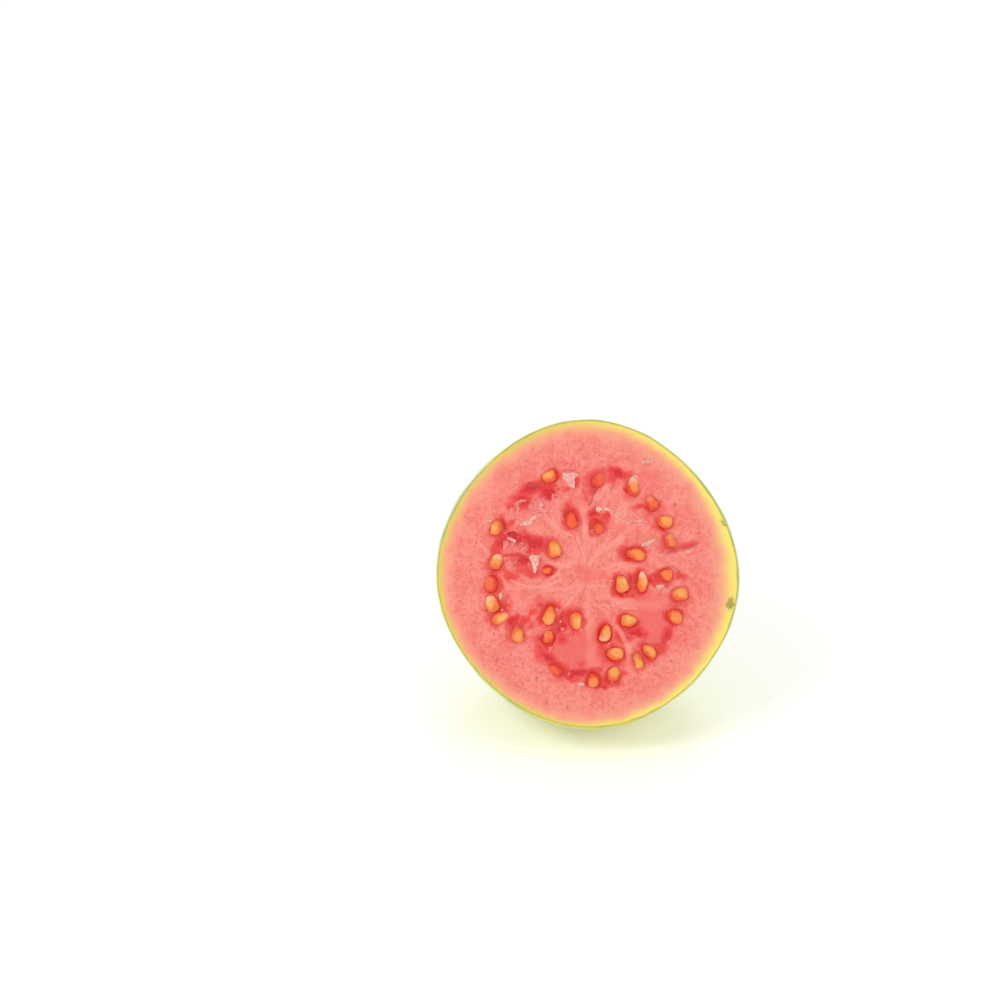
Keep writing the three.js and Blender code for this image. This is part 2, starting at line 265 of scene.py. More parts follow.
# Wet red pulp: x, y, length, width, bearing, redness, depth
PULP = (
    (-14.0, 21.6, 6.4, 2.4, 24, 1.0, 0.9),
    (-10.4, 21.1, 5.4, 2.2, -20, 0.95, 0.8),
    (-8.3, 24.4, 3.2, 1.9, 80, 0.7, 0.3),
    (-17.0, 17.9, 5.2, 3.4, 20, 0.9, 0.7),
    (-21.0, 12.0, 3.8, 1.6, -75, 0.8, 0.8),
    (-21.6, 7.8, 3.6, 2.8, 40, 1.5, 0.8),
    (-19.2, 9.6, 4.4, 1.3, -8, 1.0, 0.8),
    (-13.8, 8.1, 6.4, 3.3, -20, 1.0, 1.1),
    (-17.0, 10.4, 6.5, 2.4, -15, 0.25, 0.5),
    (-17.8, 4.2, 6.2, 1.1, 0, 0.6, 0.6),
    (-15.9, 3.0, 3.8, 3.0, -20, 0.9, 0.9),
    (-14.6, 0.3, 7.0, 2.6, -8, 0.5, 0.4),
    (-23.5, -0.6, 5.0, 2.2, 80, 0.7, 0.4),
    (-21.0, -8.0, 4.0, 2.2, 72, 0.95, 0.8),
    (-18.7, -12.5, 4.2, 2.2, 55, 0.95, 0.9),
    (-10.6, -7.6, 5.4, 2.2, -25, 0.7, 0.6),
    (-6.6, -12.4, 6.6, 2.6, 68, 1.0, 1.0),
    (-10.8, -18.4, 5.4, 3.4, -68, 0.7, 0.4),
    (-9.2, -21.2, 6.6, 2.8, -28, 0.85, 0.6),
    (-2.6, -25.0, 7.4, 2.4, -4, 0.95, 0.8),
    (-0.3, -24.8, 2.4, 1.8, 0, 1.2, 0.6),
    (4.8, -26.8, 2.6, 2.2, 0, 1.0, 0.7),
    (4.5, -16.6, 8.6, 4.6, 100, 0.6, 0.6),
    (5.6, -20.4, 3.2, 3.0, 0, 0.7, 0.4),
    (12.2, -13.6, 6.0, 2.8, -35, 0.95, 0.9),
    (20.3, -14.6, 7.0, 2.6, 66, 0.75, 0.5),
    (18.0, -18.4, 4.4, 2.8, 20, 0.6, 0.3),
    (11.2, -1.2, 2.6, 3.8, 0, 1.05, 1.0),
    (9.4, -4.4, 4.6, 2.0, -20, 0.85, 0.9),
    (16.4, -0.8, 3.0, 2.6, 0, 0.85, 0.5),
    (23.4, 0.2, 3.2, 2.8, -40, 0.5, 0.4),
    (21.4, -7.4, 2.6, 2.8, 70, 0.7, 0.4),
    (9.4, 5.2, 3.6, 3.4, -10, 0.6, 0.6),
    (18.2, 12.2, 3.2, 1.8, -20, 0.95, 0.5),
    (24.6, 7.5, 6.4, 1.9, 18, 0.4, 0.2),
    (-9.9, 20.2, 4.0, 2.6, 0, 1.1, 0.7),
    (-15.0, 7.0, 6.0, 2.6, -10, 0.9, 0.8),
    (-18.0, 8.6, 4.6, 2.2, -10, 0.9, 0.8),
    (-6.9, -13.6, 3.8, 2.6, 50, 1.6, 0.8),
    (-7.6, -8.6, 3.2, 1.8, -50, 0.6, 0.4),
    (-18.4, 2.8, 3.6, 2.0, -20, 0.7, 0.5),
    (9.2, -15.4, 4.6, 2.6, -10, 0.7, 0.4),
    (-3.4, 23.0, 2.0, 3.4, 0, 0.6, 0.3),
    (-15.8, -11.9, 4.0, 2.4, 30, 0.6, 0.4),
    (-23.2, 5.6, 2.6, 3.2, 0, 0.6, 0.4),
    (-19.4, -0.6, 5.0, 2.2, 0, 0.55, 0.3),
    (-2.9, -14.6, 3.4, 2.0, 0, 0.5, 0.3),
    (-6.0, -16.4, 3.0, 2.6, 60, 0.6, 0.4),
    (14.0, 16.8, 4.2, 1.2, 5, 0.8, 0.6),
    (9.6, 20.8, 2.2, 1.8, 0, 0.7, 0.4),
    (7.2, 25.4, 5.0, 2.4, -8, 1.0, 0.7),
    (1.0, 22.2, 3.4, 1.8, 75, 0.85, 0.6),
    (1.4, 14.2, 3.8, 3.2, 80, 1.05, 0.9),
    (4.6, 14.4, 2.4, 2.0, 0, 0.7, 0.4),
    (-4.9, 16.0, 3.4, 2.2, 95, 1.0, 0.9),
    (-0.6, -12.0, 1.5, 3.4, 0, 0.5, 0.3),
    (-19.8, 12.6, 2.2, 1.6, 0, 0.5, 0.3),
    (-0.6, -22.4, 3.0, 2.4, 0, 0.4, 0.2),
    (3.4, -24.0, 2.0, 2.0, 0, 0.5, 0.3),
    (-2.7, -26.6, 3.4, 1.4, 0, 0.4, 0.2),
    (-19.3, -7.6, 2.2, 2.2, 0, 0.5, 0.3),
    (-5.9, 21.3, 2.4, 2.0, 0, 0.4, 0.2),
    (5.6, 24.0, 2.0, 2.4, 0, 0.6, 0.3),
    (5.1, -1.9, 1.6, 3.0, 0, 0.3, 0.1),
    (-13.9, -13.4, 2.6, 1.8, 30, 0.4, 0.2),
    (-0.9, 19.8, 2.2, 4.2, 10, 0.35, 0.2),
    (-13.4, -9.6, 3.0, 2.0, 20, 0.45, 0.3),
    (9.4, -24.0, 1.8, 2.6, 70, 0.4, 0.3),
)
# Frothy, folded pulp: x, y, length, width, bearing
FROTH = (
    (-12.6, 17.2, 5.4, 4.2, 60),
    (-7.2, 19.4, 3.4, 2.0, -40),
    (-17.6, 6.7, 4.4, 2.6, 0),
    (-16.2, 5.4, 3.0, 1.6, 0),
    (-19.0, 2.0, 3.4, 3.2, 0),
    (10.2, 14.0, 12.0, 2.6, -23),
    (2.6, 11.4, 3.4, 3.0, 0),
    (-17.0, -9.5, 3.2, 1.9, -40),
    (14.1, 28.9, 4.0, 2.0, 0),
    (-18.4, 15.4, 4.0, 2.0, 60),
)
print("chambers:", len(CHAMBERS), "patches of pulp:", len(PULP))

# %% Fibres, cracks and bruises
# Pale fibres and walls: from x, y to x, y, bow to the left, width at each end, strength
FIBRES = (
    (-8.9, 13.5, -3.9, 9.5, -0.7, 0.4, 0.4, 0.8),
    (-8.6, 12.2, -3.0, 7.8, -0.8, 0.4, 0.4, 0.5),
    (-19.1, -1.8, -6.4, -1.3, -1.9, 0.4, 0.4, 0.95),
    (-11.5, 4.4, -4.6, 2.2, -1.0, 1.5, 1.3, 0.5),
    (-11.9, -3.9, -1.2, -2.7, -0.4, 1.2, 1.0, 0.4),
    (-3.3, 6.6, -3.0, 3.0, 0.1, 1.2, 0.9, 0.55),
    (0.2, -3.0, 4.6, -2.9, 0.2, 0.5, 0.5, 0.7),
    (5.0, 1.5, 9.6, 3.0, 0.4, 0.5, 0.7, 0.7),
    (5.8, 0.7, 12.3, 2.4, 0.5, 0.4, 0.5, 0.6),
    (-4.6, -7.4, -1.6, -3.8, 0.2, 0.5, 0.4, 0.6),
    (5.2, 22.6, 2.2, 19.6, 0.0, 0.8, 2.2, 0.5),
    (-16.5, -0.9, -7.4, -0.2, -1.5, 0.35, 0.35, 0.35),
    (9.0, -8.2, 12.3, -8.3, 0.0, 0.45, 0.4, 0.8),
    (7.4, -12.8, 9.5, -16.2, 0.2, 0.9, 1.2, 0.6),
    (9.5, -16.2, 11.2, -19.0, 0.0, 1.2, 1.5, 0.5),
    (-1.3, 17.5, -1.0, 3.0, 0.5, 1.6, 1.2, 0.4),
    (0.4, 2.6, 8.2, 8.8, 0.7, 1.2, 1.8, 0.55),
    (0.8, 3.8, 6.2, 9.6, 0.5, 0.35, 0.35, 0.5),
    (-2.8, 9.4, -0.8, 1.8, 0.3, 0.4, 0.3, 0.6),
    (1.6, -1.7, 6.4, -1.5, 0.2, 0.35, 0.35, 0.5),
    (0.4, -6.0, 0.6, -10.4, -0.3, 0.5, 0.5, 0.7),
    (0.2, -7.5, 1.0, -22.0, 0.8, 1.6, 2.6, 0.3),
    (-3.2, -4.0, -20.0, -6.4, 1.2, 1.4, 3.0, 0.25),
    (3.4, -5.0, 20.5, -7.6, -0.9, 1.4, 2.6, 0.28),
    (4.5, 1.4, 13.5, 2.4, 0.7, 0.8, 1.4, 0.35),
    (-3.4, -5.2, -12.0, -13.8, 0.6, 0.4, 0.4, 0.3),
    (-6.0, 3.0, -2.2, 4.6, -0.5, 0.35, 0.35, 0.5),
    (-5.0, 10.6, -1.8, 4.2, 0.4, 0.35, 0.3, 0.5),
    (17.6, 2.4, 23.0, 4.2, -0.4, 0.5, 0.5, 0.5),
    (23.0, 5.8, 26.0, 6.4, 0.2, 1.2, 1.0, 0.5),
    (-18.2, -19.7, -14.2, -22.2, 0.3, 0.5, 0.4, 0.4),
    (-10.7, -27.4, -6.4, -29.3, 0.4, 0.5, 0.4, 0.4),
    (-6.0, -29.0, 2.0, -31.5, 0.9, 0.5, 0.4, 0.3),
    (-25.6, 14.2, -21.2, 16.4, 0.4, 0.5, 0.5, 0.4),
    (-18.6, 17.2, -16.0, 18.2, 0.3, 0.5, 0.5, 0.8),
    (3.4, 16.4, 6.0, 15.8, 0.2, 0.7, 0.4, 0.8),
    (1.4, 1.1, 4.2, 3.9, 0.3, 0.3, 0.3, 0.4),
    (5.4, -18.0, 7.0, -20.6, 0.3, 0.4, 0.4, 0.4),
)
# Thin dark red cracks, given as fibres are
CRACKS = (
    (19.7, 5.6, 22.8, 6.8, 0.2, 0.7, 1.3, 0.7),
    (22.8, 6.8, 27.6, 8.3, -0.2, 1.3, 0.7, 0.7),
    (1.6, 22.0, 0.3, 17.5, 0.2, 0.9, 0.7, 0.7),
    (-19.8, 9.6, -17.8, 9.4, 0.4, 0.8, 0.6, 1.3),
    (-15.1, 22.6, -13.7, 21.8, 0.1, 0.6, 0.9, 1.1),
    (-13.7, 21.8, -12.5, 22.2, 0.0, 0.9, 0.5, 1.1),
    (21.4, 2.3, 23.2, -1.0, 0.7, 0.8, 0.4, 0.4),
    (16.6, -17.0, 20.6, -15.9, -0.4, 0.6, 0.8, 0.5),
    (20.8, -9.6, 27.0, -10.6, 0.0, 0.35, 0.25, 0.4),
    (-20.8, 4.3, -15.4, 4.2, 0.5, 0.5, 0.5, 0.6),
    (-6.6, 26.0, -3.6, 26.0, 0.1, 0.5, 0.4, 0.5),
    (6.4, 23.6, 5.2, 20.4, 0.2, 0.4, 0.5, 0.4),
    (-12.6, 15.4, -9.4, 16.4, -0.8, 0.4, 0.4, 0.5),
)
# Small dark dots in the firm flesh: x, y, width
DOTS = (
    (21.5, 17.9, 0.9),
    (-23.2, -15.4, 0.6),
    (-22.3, -22.0, 0.8),
    (-25.1, -25.2, 0.7),
    (-23.2, -26.1, 1.0),
    (-12.3, -26.2, 0.8),
    (27.6, 10.8, 0.7),
    (21.2, -21.2, 0.6),
    (-4.4, -33.4, 0.8),
)
# Bruises in the rind: x, y, length, width, bearing
BRUISES = (
    (35.9, -6.2, 3.6, 1.6, 80),
    (33.8, 13.5, 2.0, 0.8, 115),
)
print("fibres:", len(FIBRES), "cracks:", len(CRACKS), "dots:", len(DOTS), "bruises:", len(BRUISES))

# %% [markdown]
# ## How the marks act on the face
# Each mark is a soft shape on the face: an oval that is full in its middle and falls to nothing at its
# edge, or a stroke with a bow in it. The same value carves the mesh and tints it, so that colour and
# relief never come apart. Painting an image could tint it too, but then the relief would need another.

# %% Ovals and strokes
def reach(x, y, mark, taper=0.0):
    """0 in the middle of an oval, 1 on its edge; a taper draws it in towards its tip."""
    at_x, at_y, length, width, bearing = mark[:5]
    turn = math.radians(bearing)
    along = ((x - at_x) * math.cos(turn) + (y - at_y) * math.sin(turn)) / (length / 2)
    across = ((y - at_y) * math.cos(turn) - (x - at_x) * math.sin(turn)) / (width / 2)
    return np.hypot(along, across * (1 + taper * np.clip(along, -1, 1.5)))


def oval(x, y, mark, power=4):
    """1 in the middle of an oval, half on its edge and 0 well outside it."""
    return np.exp(-0.7 * reach(x, y, mark) ** power)


def stroke(x, y, mark):
    """Its strength on the line of a stroke, and 0 away from it."""
    x0, y0, x1, y1, bow, start_width, end_width, strength = mark
    length = math.hypot(x1 - x0, y1 - y0)
    along_x, along_y = (x1 - x0) / length, (y1 - y0) / length
    along = ((x - x0) * along_x + (y - y0) * along_y) / length
    across = (y - y0) * along_x - (x - x0) * along_y
    inside = np.clip(along, 0, 1)
    across = across - 4 * bow * inside * (1 - inside)
    width = start_width + (end_width - start_width) * inside
    past_end = (along - inside) * length
    return strength * np.exp(-0.7 * ((across**2 + past_end**2) / (width / 2) ** 2) ** 2)


def strongest(values):
    """The strongest of several marks at each point."""
    return np.maximum.reduce(list(values))


def wrinkles(x, y, scale, seed):
    """Noise from -1 to 1 with features of about the given size, in millimetres."""
    return np.array([noise.noise(Vector((a / scale, b / scale, seed))) for a, b in zip(x, y)])


def wander(x, y, distance, scale, seed):
    """The points moved a little at random, so that marks read there get ragged edges."""
    moved_x = x + distance * wrinkles(x, y, scale, seed)
    return moved_x, y + distance * wrinkles(x, y, scale, seed + 0.5)


print("an oval's edge:", round(float(oval(np.array([2.0]), np.array([0.0]), (0, 0, 4, 2, 0))[0]), 2))

# %% [markdown]
# ## From model to scene
# Every piece is modelled in the fruit's own frame and ends in the same way: smooth faces that look
# outwards, the fruit's matrix, then a mesh and an object. The object could carry the matrix, but a
# finished part is easier to reuse when its objects stand unturned at the origin.

# %% Helpers for meshes
def to_mesh(bm, name):
    """Turns what was modelled in the fruit's own frame into a smooth mesh that stands in its place."""
    for polygon in bm.faces:
        polygon.smooth = True
    bmesh.ops.recalc_face_normals(bm, faces=bm.faces)
    bmesh.ops.transform(bm, matrix=FRUIT, verts=bm.verts)
    mesh = bpy.data.meshes.new(name)
    bm.to_mesh(mesh)
    bm.free()
    return mesh


def show(name, mesh):
    """Puts a mesh into the scene as an object, and prints how many triangles it has."""
    made = bpy.data.objects.new(name, mesh)
    bpy.context.scene.collection.objects.link(made)
    print("triangles in the", name + ":", sum(len(p.vertices) - 2 for p in mesh.polygons))
    return made


def store(mesh, name, values):
    """Keeps one number for each corner of a mesh, for its materials to read."""
    layer = mesh.attributes.new(name, "FLOAT", "POINT")
    layer.data.foreach_set("value", np.asarray(values, np.float32))


print("one millimetre in the scene:", round(FRUIT.to_scale()[0], 6))

# %% [markdown]
# ## The body of the half
# Skin and flesh grew as one, so they are one closed mesh. It starts as a ball whose upper rings are laid
# out flat as the cut face, and whose lower rings become the dome. A ball that was cut through and filled
# would also do, but its face would have no rings to carry the relief. The rings stand closest where the
# seeds are, and again at the blossom end.

# %% Rings of the body
SIDES = 480
CORE_RINGS = 9
SEED_ZONE = (4.0, 29.0)
SEED_ZONE_RINGS = 112
OUTER_FLESH_RINGS = 20
DOME_RINGS = 44
EDGE_ROUND = 0.3


def body_rings():
    """Distance from the axis and height of each ring, from the middle of the cut to the dome's end."""
    inner, outer = SEED_ZONE
    edge = CUT_RADIUS - EDGE_ROUND
    distances = [*np.linspace(0, inner, CORE_RINGS, endpoint=False)]
    distances += [*np.linspace(inner, outer, SEED_ZONE_RINGS, endpoint=False)]
    distances += [*np.linspace(outer, edge, OUTER_FLESH_RINGS)]
    rings = [(distance, 0.0) for distance in distances]
    rings += [(CUT_RADIUS - 0.3 * EDGE_ROUND, -0.3 * EDGE_ROUND)]
    shares = 1 - 0.99 * (1 - np.arange(DOME_RINGS + 1) / DOME_RINGS) ** 1.5
    rings += [dome_point(share) for share in shares]
    return np.array(rings)


rings = body_rings()
print("rings:", len(rings))

# %% Relief and tint of the face
# How far noise moves a mark, the size of its features in millimetres, and its seed
COARSE_WANDER = (0.9, 2.4, 4.0)
FINE_WANDER = (0.35, 0.8, 12.0)
POCKET_WANDER = (0.35, 1.4, 40.0)
POCKET = {"reach": 1.3, "depth": 0.5, "shift": 0.6, "far": 3}
# How far each kind of mark lifts or, below 0, sinks the face, in millimetres
LIFT = {"sink": -0.5, "folds": 0.2, "bubbles": 0.3, "chamber": -0.25, "fibre": 0.14, "crack": -0.35}
SWELL = {"height": 0.25, "size": 7.0, "radius": 30}
FLAT_RIM = {"width": 1.5, "fade": 3}
# How deep the rind's yellow goes in millimetres, at every 45 degrees from the right round to it again
RIND_WIDTHS = (4.3, 2.5, 2.7, 2.0, 2.2, 1.4, 2.0, 2.5, 4.3)
FACE_MARKS = ("chamber", "pulp", "froth", "fibre", "crack", "dot", "bruise", "pocket", "halo")


def pocket_reaches(x, y):
    """How far off each seed's pocket is; a pocket lies to the side where its seed's pulp shows."""
    near_x, near_y = wander(x, y, *POCKET_WANDER)
    for at_x, at_y, length, width, tip, _, _, bare, _ in SEEDS:
        turn = math.radians(bare)
        at_x += POCKET["shift"] * math.cos(turn)
        at_y += POCKET["shift"] * math.sin(turn)
        yield reach(near_x, near_y, (at_x, at_y, length, width, tip), 0.3)


def face_marks(x, y):
    """Height of the cut face and the strength of each kind of mark on it."""
    loose = wander(*wander(x, y, *COARSE_WANDER), *FINE_WANDER)
    reaches = np.array(list(pocket_reaches(x, y)))
    nearest = reaches.argmin(axis=0)
    pocket = reaches.min(axis=0)
    sinks = strongest(mark[6] * oval(*loose, mark, 3) for mark in PULP)
    pulp = strongest(mark[5] * oval(*loose, mark, 2.4) for mark in PULP)
    chamber = strongest(mark[5] * oval(*loose, mark, 3) for mark in CHAMBERS)
    froth = strongest(oval(*loose, mark) for mark in FROTH)
    fibre = strongest(stroke(x, y, mark) for mark in FIBRES)
    crack = strongest(stroke(x, y, mark) for mark in CRACKS)
    dot = strongest(oval(x, y, (at_x, at_y, width, width, 0)) for at_x, at_y, width in DOTS)
    bruise = strongest(oval(*loose, mark, 2.4) for mark in BRUISES)
    folds = wrinkles(x, y, 1.3, 3.0)
    bubbles = 1 - np.abs(wrinkles(x, y, 0.9, 8.0)) * 3
    swell = wrinkles(x, y, SWELL["size"], 5.0) * np.exp(-((np.hypot(x, y) / SWELL["radius"]) ** 6))
    height = -POCKET["depth"] * np.exp(-0.7 * (pocket / POCKET["reach"]) ** 4)
    height += LIFT["sink"] * sinks + LIFT["folds"] * folds * pulp + LIFT["bubbles"] * bubbles * froth
    height += LIFT["chamber"] * chamber + LIFT["fibre"] * fibre + LIFT["crack"] * crack
    height += SWELL["height"] * swell
    height = np.minimum(height, 0.0)
    flat_from = CUT_RADIUS - FLAT_RIM["width"]
    rim_fade = np.clip((flat_from - np.hypot(x, y)) / FLAT_RIM["fade"], 0, 1)
    halo = np.array([seed[6] for seed in SEEDS])[nearest]
    tints = (chamber, pulp, froth, fibre, crack, dot, bruise, np.minimum(pocket, POCKET["far"]), halo)
    return height * rim_fade, dict(zip(FACE_MARKS, tints))


print("marks on the face:", ", ".join(FACE_MARKS))

# %% Shape the body
FLOOR_CLEAR = 0.02
LUMPS = {"depth": 0.25, "size": 6.0}
PUCKERS = {"depth": 0.35, "count": 11, "radius": 6.5, "spread": 2.6}


def dome_dents(x, y, z, angle):
    """How far the skin lies inside the smooth dome: soft lumps, and puckers round the blossom end."""
    lumps = np.array([noise.noise(Vector(place) / LUMPS["size"]) for place in zip(x, y, z)])
    round_end = (np.hypot(x, y) - PUCKERS["radius"]) / PUCKERS["spread"]
    pucker = np.exp(-(round_end**2)) * (0.5 + 0.5 * np.cos(PUCKERS["count"] * angle + 3 * lumps))
    return LUMPS["depth"] * (0.5 + lumps) + PUCKERS["depth"] * np.where(z < -DOME_DEPTH / 2, pucker, 0)


def body_mesh():
    """The closed mesh of the half in the fruit's own frame, with marks for its materials."""
    bm = bmesh.new()
    steps = len(rings) - 1
    bmesh.ops.create_uvsphere(bm, u_segments=SIDES, v_segments=steps, radius=1)
    ball = np.array([v.co for v in bm.verts])
    ring = np.rint(np.arccos(np.clip(ball[:, 2], -1, 1)) / math.pi * steps).astype(int)
    angle = np.arctan2(ball[:, 1], ball[:, 0])
    distance, height = rings[ring].T
    face = np.flatnonzero(height == 0)
    dome = np.flatnonzero(height < 0)
    x, y = distance * np.cos(angle), distance * np.sin(angle)
    dents = dome_dents(x[dome], y[dome], height[dome], angle[dome])
    shrink = 1 - dents * np.clip(-height[dome] / 2, 0, 1) / CUT_RADIUS
    x[dome] *= shrink
    y[dome] *= shrink
    x, y, z = bend_body(x, y, height)
    relief, tints = face_marks(x[face], y[face])
    z[face] += relief
    for vert, place in zip(bm.verts, np.column_stack([x, y, z])):
        vert.co = place
    bm.verts.index_update()
    for polygon in bm.faces:
        polygon.material_index = int(all(height[v.index] < 0 for v in polygon.verts))
    mesh = to_mesh(bm, "guava_body")
    for vert in mesh.vertices:
        vert.co.z = max(vert.co.z, FLOOR_CLEAR * MM)
    rind = np.zeros(len(x))
    rind[face] = CUT_RADIUS * lobe_scale(angle[face]) - np.hypot(x[face], y[face])
    store(mesh, "rind", rind)
    store(mesh, "rind_width", np.interp(np.degrees(angle) % 360, np.arange(0, 361, 45), RIND_WIDTHS))
    for name, values in tints.items():
        everywhere = np.zeros(len(x))
        everywhere[face] = values
        store(mesh, name, everywhere)
    return mesh


body = show("guava_body", body_mesh())
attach(body, "root")
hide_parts("guava_half")

# %% [markdown]
# ## Seeds
# A guava seed is a small hard drop, a little flattened, with dents where it lay against its neighbours.
# One ball with a few hundred faces is drawn out to each seed's length and tip. A seed that was modelled
# once and copied would be quicker, but copies look alike. They are small, so they share one mesh and
# one material, which reads how warm each seed is and how near its middle a point lies.

# %% Shape the seeds
SEED_SIDES = 24
SEED_BANDS = 14
SEED_THICKNESS = 2.1
FULLNESS = 2.8
TIP_TAPER = 0.35
FLATTENING = 0.6
SEED_DENTS = {"waves": 1.1, "apart": 9, "depth": 0.3, "stretch": 0.12}
SEED_DEPTH = 0.5
COVERED_DEPTH = 0.6
LIT_SHIFT = 0.3
# The mark named pale holds how strong a painted highlight, a pale pink patch on one end, lies on a seed
SEED_MARKS = ("warmth", "core", "pale", "across", "draw")
# Steps of the golden ratio spread the seeds' draws evenly from 0 to 1
GOLDEN_STEP = 0.618


def seed_mesh():
    bm = bmesh.new()
    layers = [bm.verts.layers.float.new(name) for name in SEED_MARKS]
    for number, (x, y, length, width, tip, warm, _, bare, pale) in enumerate(SEEDS):
        made = bmesh.ops.create_uvsphere(bm, u_segments=SEED_SIDES, v_segments=SEED_BANDS, radius=1)
        draw = (number * GOLDEN_STEP) % 1
        waves, apart = SEED_DENTS["waves"], SEED_DENTS["apart"] * number
        shift = Matrix.Rotation(math.radians(bare + 180 - tip), 2) @ Vector((LIT_SHIFT, 0))
        for vert in made["verts"]:
            along, across, up = vert.co.z, vert.co.y, vert.co.x
            dent = noise.noise(Vector((waves * along, waves * across, waves * up + apart)))
            round_end = max(1e-6, 1 - along**2) ** 0.5
            full_end = max(0.0, 1 - abs(along) ** FULLNESS) ** (1 / FULLNESS)
            fuller = min(1.5, full_end / round_end)
            taper = fuller * (1 - TIP_TAPER * max(0.0, along) ** 1.4)
            taper *= 1 + SEED_DENTS["depth"] * dent
            core = 1 - (Vector((along, across)) - shift).length
            # A painted highlight: a pale pink patch on the seed's tip, or on its other end
            highlight_cap = min(1.0, max(0.0, 2 * along * math.copysign(1, pale) - 0.4))
            for layer, value in zip(layers, (warm, core, abs(pale) * highlight_cap, across, draw)):
                vert[layer] = value
            flat_up = math.copysign(abs(up) ** FLATTENING, up)
            vert.co = (
                along * (1 + SEED_DENTS["stretch"] * dent) * length / 2,
                across * taper * width / 2,
                flat_up * taper * SEED_THICKNESS / 2,
            )
        depth = SEED_DEPTH + COVERED_DEPTH * warm**2
        place = Matrix.Translation((x, y, -depth)) @ Matrix.Rotation(math.radians(tip), 4, "Z")
        bmesh.ops.transform(bm, matrix=place, verts=made["verts"])
    return to_mesh(bm, "seeds")


seeds = show("seeds", seed_mesh())
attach(seeds, "root")

# %% [markdown]
# ## Torn scraps of wall
# The knife left small pale scraps of wet wall on the cut, and they catch the light first. Their pale
# pinks are partly the wall's own and partly a painted highlight, for the glints of the wet cut. Each is
# an outline that is filled, divided, curled a little by noise and extruded down, so that its foot sinks
# into the flesh. A painted patch would be easier, but it wouldn't catch the light at its edge. Giving the
# sheet a thickness along its normals would throw up spikes where an outline has a sharp corner.

# %% Shape the scraps
# The corners of each outline
SCRAPS = (
    ((-6.7, 25.4), (-3.7, 25.5), (-2.8, 24.9), (-3.6, 23.8), (-3.7, 21.4), (-5.2, 22.2), (-6.6, 24.0)),
    ((-14.9, 4.1), (-14.1, 4.6), (-11.9, 4.6), (-12.6, 1.8), (-13.1, -0.3), (-13.6, 0.6), (-14.1, 2.5)),
    ((-17.3, 12.0), (-16.2, 13.0), (-14.9, 13.3), (-13.8, 14.5), (-12.4, 14.7), (-14.1, 12.6),
     (-15.6, 11.8)),
    ((13.2, 7.3), (13.4, 8.1), (14.9, 8.5), (16.5, 9.4), (16.7, 8.9), (15.1, 7.4)),
    ((1.7, 16.6), (2.4, 17.2), (3.3, 16.5), (2.9, 15.6), (2.1, 15.8)),
    ((17.1, -2.5), (19.3, -2.1), (18.9, -2.9), (17.9, -3.6)),
    ((-1.9, -27.4), (-0.9, -26.9), (-0.3, -27.5), (-1.0, -28.1)),
    ((-22.1, -5.3), (-21.5, -5.0), (-21.2, -5.8), (-21.8, -6.8)),
    ((12.8, 28.2), (13.2, 29.0), (14.6, 28.7), (15.8, 29.3), (16.0, 28.4), (14.4, 28.0)),
    ((-25.6, 12.9), (-24.2, 13.3), (-24.4, 12.7)),
    ((-12.6, 17.2), (-11.8, 17.7), (-11.4, 17.0), (-12.1, 16.5)),
    ((3.6, 16.3), (4.6, 16.8), (6.0, 15.9), (4.8, 16.1)),
    ((-20.3, 9.0), (-19.2, 8.8), (-17.9, 8.1), (-18.2, 7.6), (-19.4, 8.1), (-20.4, 8.4)),
    ((10.6, 25.2), (11.8, 24.9), (12.6, 24.3), (11.4, 24.6)),
    ((24.0, 5.9), (24.6, 6.4), (26.0, 6.6), (25.4, 5.8)),
)
SCRAP_LIFT = 0.15
SCRAP_THICKNESS = 0.9
SCRAP_CUTS = 5
# How far noise moves a scrap's corners, how many of its waves fit into a millimetre, and its three layers
RAGGED = 0.22
RAGGED_WAVES = 2.2
RAGGED_LAYERS = (4, 14, 24)


def join(bm, added):
    """Puts one bmesh into another and frees it."""
    held = bpy.data.meshes.new("held")
    added.to_mesh(held)
    added.free()
    bm.from_mesh(held)
    bpy.data.meshes.remove(held)


def scraps_mesh():
    bm = bmesh.new()
    for corners in SCRAPS:
        scrap = bmesh.new()
        made = [scrap.verts.new((x, y, 0)) for x, y in corners]
        scrap.faces.new(made)
        bmesh.ops.triangulate(scrap, faces=scrap.faces)
        bmesh.ops.subdivide_edges(scrap, edges=scrap.edges, cuts=SCRAP_CUTS, use_grid_fill=True)
        for vert in scrap.verts:
            place = RAGGED_WAVES * vert.co
            ragged = Vector([noise.noise(place + Vector((0, 0, at))) for at in RAGGED_LAYERS])
            vert.co += RAGGED * ragged + Vector((0, 0, SCRAP_LIFT))
        copied = bmesh.ops.extrude_face_region(scrap, geom=scrap.faces[:], use_keep_orig=True)["geom"]
        lower = [part for part in copied if isinstance(part, bmesh.types.BMVert)]
        bmesh.ops.translate(scrap, vec=(0, 0, -SCRAP_THICKNESS), verts=lower)
        join(bm, scrap)
    return to_mesh(bm, "scraps")


scraps = show("scraps", scraps_mesh())
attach(scraps, "root")

# %% [markdown]
# ## A small kit for finishes
# Every finish here is a tree of nodes on one shader. A few helpers keep each recipe short: they add a
# node, link or set its inputs, read a mark off the mesh, and lay one colour over another where a value
# goes from low to high. Colours are given as they look on screen, and turned into the linear values
# that shaders mix.

# %% Helpers for materials
def screen(red, green, blue):
    """A colour given as it looks on screen, from 0 to 255, in linear values."""
    def linear(value):
        share = value / 255
        return share / 12.92 if share <= 0.04045 else ((share + 0.055) / 1.055) ** 2.4

    return (linear(red), linear(green), linear(blue), 1.0)


